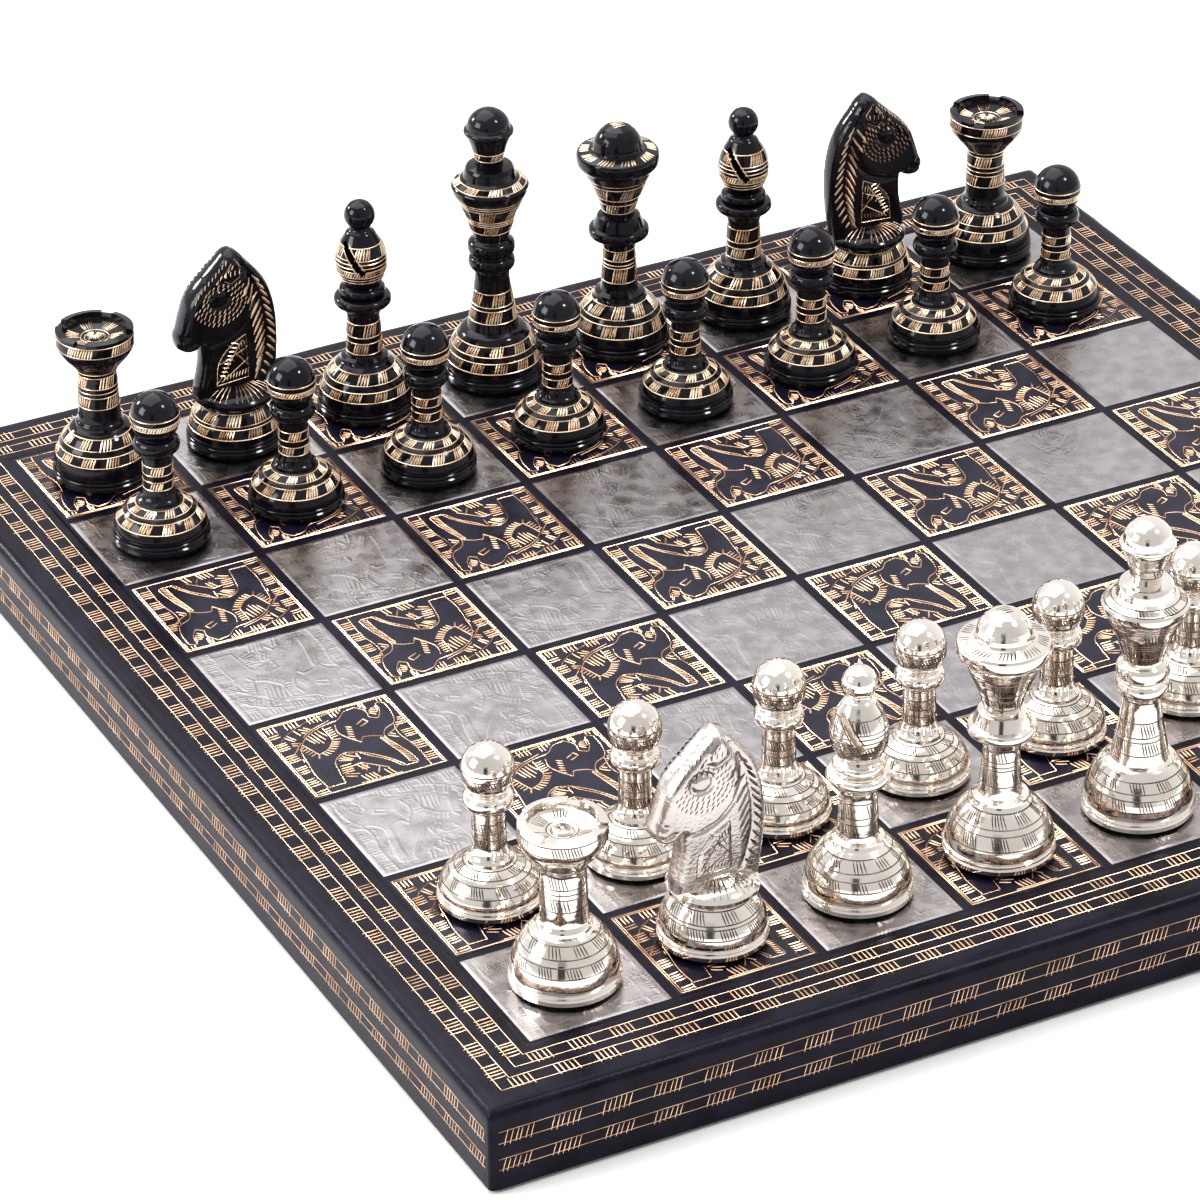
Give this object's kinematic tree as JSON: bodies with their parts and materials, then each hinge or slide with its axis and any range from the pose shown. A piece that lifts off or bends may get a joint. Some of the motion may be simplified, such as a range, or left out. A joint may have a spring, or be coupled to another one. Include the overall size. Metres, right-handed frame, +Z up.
{
  "type": "chess set with board",
  "caption": "Square metal-clad chess board with inlaid engraved plates, set up with turned metal chessmen, one army nickel and one black, all on green felt.",
  "frame": {"origin": "middle of the underside of the board's felt, on the table", "axes": "+X along the edge in front of the silver army, towards its right hand; +Y from the silver army to the black army; +Z up"},
  "size_m": [0.305, 0.305, 0.0902],
  "materials": {
    "black_lacquer": "glossy black lacquer over brass, engraved lines show gold",
    "polished_nickel": "polished nickel plate",
    "satin_nickel": "satin nickel, finely embossed",
    "engraved_brass": "pale brass engraved through black lacquer",
    "felt_green": "matt felt",
    "core_wood": "plain softwood, hidden by the sheet"
  },
  "bodies": {
    "board": {"base_felt": "felt_green", "wood_core": "core_wood", "cover_sheet": "black_lacquer", "light_squares": "satin_nickel", "dark_squares": "engraved_brass"},
    "silver_rook_left_man": {"silver_rook_left": "polished_nickel", "silver_rook_left_felt": "felt_green"},
    "silver_knight_left_man": {"silver_knight_left": "polished_nickel", "silver_knight_left_felt": "felt_green"},
    "silver_bishop_left_man": {"silver_bishop_left": "polished_nickel", "silver_bishop_left_felt": "felt_green"},
    "silver_queen_man": {"silver_queen": "polished_nickel", "silver_queen_felt": "felt_green"},
    "silver_king_man": {"silver_king": "polished_nickel", "silver_king_felt": "felt_green"},
    "silver_bishop_right_man": {"silver_bishop_right": "polished_nickel", "silver_bishop_right_felt": "felt_green"},
    "silver_knight_right_man": {"silver_knight_right": "polished_nickel", "silver_knight_right_felt": "felt_green"},
    "silver_rook_right_man": {"silver_rook_right": "polished_nickel", "silver_rook_right_felt": "felt_green"},
    "silver_pawn_1_man": {"silver_pawn_1": "polished_nickel"},
    "silver_pawn_2_man": {"silver_pawn_2": "polished_nickel"},
    "silver_pawn_3_man": {"silver_pawn_3": "polished_nickel"},
    "silver_pawn_4_man": {"silver_pawn_4": "polished_nickel"},
    "silver_pawn_5_man": {"silver_pawn_5": "polished_nickel"},
    "silver_pawn_6_man": {"silver_pawn_6": "polished_nickel"},
    "silver_pawn_7_man": {"silver_pawn_7": "polished_nickel"},
    "silver_pawn_8_man": {"silver_pawn_8": "polished_nickel"},
    "black_rook_left_man": {"black_rook_left": "black_lacquer", "black_rook_left_felt": "felt_green"},
    "black_knight_left_man": {"black_knight_left": "black_lacquer", "black_knight_left_felt": "felt_green"},
    "black_bishop_left_man": {"black_bishop_left": "black_lacquer", "black_bishop_left_felt": "felt_green"},
    "black_king_man": {"black_king": "black_lacquer", "black_king_felt": "felt_green"},
    "black_queen_man": {"black_queen": "black_lacquer", "black_queen_felt": "felt_green"},
    "black_bishop_right_man": {"black_bishop_right": "black_lacquer", "black_bishop_right_felt": "felt_green"},
    "black_knight_right_man": {"black_knight_right": "black_lacquer", "black_knight_right_felt": "felt_green"},
    "black_rook_right_man": {"black_rook_right": "black_lacquer", "black_rook_right_felt": "felt_green"},
    "black_pawn_1_man": {"black_pawn_1": "black_lacquer"},
    "black_pawn_2_man": {"black_pawn_2": "black_lacquer"},
    "black_pawn_3_man": {"black_pawn_3": "black_lacquer"},
    "black_pawn_4_man": {"black_pawn_4": "black_lacquer"},
    "black_pawn_5_man": {"black_pawn_5": "black_lacquer"},
    "black_pawn_6_man": {"black_pawn_6": "black_lacquer"},
    "black_pawn_7_man": {"black_pawn_7": "black_lacquer"},
    "black_pawn_8_man": {"black_pawn_8": "black_lacquer"}
  },
  "joints": [
    {"name": "silver_rook_left_lift", "type": "slide", "parent": "board", "child": "silver_rook_left_man", "axis": [0, 0, 1], "range_m": [0, 0.09]},
    {"name": "silver_knight_left_lift", "type": "slide", "parent": "board", "child": "silver_knight_left_man", "axis": [0, 0, 1], "range_m": [0, 0.09]},
    {"name": "silver_bishop_left_lift", "type": "slide", "parent": "board", "child": "silver_bishop_left_man", "axis": [0, 0, 1], "range_m": [0, 0.09]},
    {"name": "silver_queen_lift", "type": "slide", "parent": "board", "child": "silver_queen_man", "axis": [0, 0, 1], "range_m": [0, 0.09]},
    {"name": "silver_king_lift", "type": "slide", "parent": "board", "child": "silver_king_man", "axis": [0, 0, 1], "range_m": [0, 0.09]},
    {"name": "silver_bishop_right_lift", "type": "slide", "parent": "board", "child": "silver_bishop_right_man", "axis": [0, 0, 1], "range_m": [0, 0.09]},
    {"name": "silver_knight_right_lift", "type": "slide", "parent": "board", "child": "silver_knight_right_man", "axis": [0, 0, 1], "range_m": [0, 0.09]},
    {"name": "silver_rook_right_lift", "type": "slide", "parent": "board", "child": "silver_rook_right_man", "axis": [0, 0, 1], "range_m": [0, 0.09]},
    {"name": "silver_pawn_1_lift", "type": "slide", "parent": "board", "child": "silver_pawn_1_man", "axis": [0, 0, 1], "range_m": [0, 0.09]},
    {"name": "silver_pawn_2_lift", "type": "slide", "parent": "board", "child": "silver_pawn_2_man", "axis": [0, 0, 1], "range_m": [0, 0.09]},
    {"name": "silver_pawn_3_lift", "type": "slide", "parent": "board", "child": "silver_pawn_3_man", "axis": [0, 0, 1], "range_m": [0, 0.09]},
    {"name": "silver_pawn_4_lift", "type": "slide", "parent": "board", "child": "silver_pawn_4_man", "axis": [0, 0, 1], "range_m": [0, 0.09]},
    {"name": "silver_pawn_5_lift", "type": "slide", "parent": "board", "child": "silver_pawn_5_man", "axis": [0, 0, 1], "range_m": [0, 0.09]},
    {"name": "silver_pawn_6_lift", "type": "slide", "parent": "board", "child": "silver_pawn_6_man", "axis": [0, 0, 1], "range_m": [0, 0.09]},
    {"name": "silver_pawn_7_lift", "type": "slide", "parent": "board", "child": "silver_pawn_7_man", "axis": [0, 0, 1], "range_m": [0, 0.09]},
    {"name": "silver_pawn_8_lift", "type": "slide", "parent": "board", "child": "silver_pawn_8_man", "axis": [0, 0, 1], "range_m": [0, 0.09]},
    {"name": "black_rook_left_lift", "type": "slide", "parent": "board", "child": "black_rook_left_man", "axis": [0, 0, 1], "range_m": [0, 0.09]},
    {"name": "black_knight_left_lift", "type": "slide", "parent": "board", "child": "black_knight_left_man", "axis": [0, 0, 1], "range_m": [0, 0.09]},
    {"name": "black_bishop_left_lift", "type": "slide", "parent": "board", "child": "black_bishop_left_man", "axis": [0, 0, 1], "range_m": [0, 0.09]},
    {"name": "black_king_lift", "type": "slide", "parent": "board", "child": "black_king_man", "axis": [0, 0, 1], "range_m": [0, 0.09]},
    {"name": "black_queen_lift", "type": "slide", "parent": "board", "child": "black_queen_man", "axis": [0, 0, 1], "range_m": [0, 0.09]},
    {"name": "black_bishop_right_lift", "type": "slide", "parent": "board", "child": "black_bishop_right_man", "axis": [0, 0, 1], "range_m": [0, 0.09]},
    {"name": "black_knight_right_lift", "type": "slide", "parent": "board", "child": "black_knight_right_man", "axis": [0, 0, 1], "range_m": [0, 0.09]},
    {"name": "black_rook_right_lift", "type": "slide", "parent": "board", "child": "black_rook_right_man", "axis": [0, 0, 1], "range_m": [0, 0.09]},
    {"name": "black_pawn_1_lift", "type": "slide", "parent": "board", "child": "black_pawn_1_man", "axis": [0, 0, 1], "range_m": [0, 0.09]},
    {"name": "black_pawn_2_lift", "type": "slide", "parent": "board", "child": "black_pawn_2_man", "axis": [0, 0, 1], "range_m": [0, 0.09]},
    {"name": "black_pawn_3_lift", "type": "slide", "parent": "board", "child": "black_pawn_3_man", "axis": [0, 0, 1], "range_m": [0, 0.09]},
    {"name": "black_pawn_4_lift", "type": "slide", "parent": "board", "child": "black_pawn_4_man", "axis": [0, 0, 1], "range_m": [0, 0.09]},
    {"name": "black_pawn_5_lift", "type": "slide", "parent": "board", "child": "black_pawn_5_man", "axis": [0, 0, 1], "range_m": [0, 0.09]},
    {"name": "black_pawn_6_lift", "type": "slide", "parent": "board", "child": "black_pawn_6_man", "axis": [0, 0, 1], "range_m": [0, 0.09]},
    {"name": "black_pawn_7_lift", "type": "slide", "parent": "board", "child": "black_pawn_7_man", "axis": [0, 0, 1], "range_m": [0, 0.09]},
    {"name": "black_pawn_8_lift", "type": "slide", "parent": "board", "child": "black_pawn_8_man", "axis": [0, 0, 1], "range_m": [0, 0.09]}
  ]
}
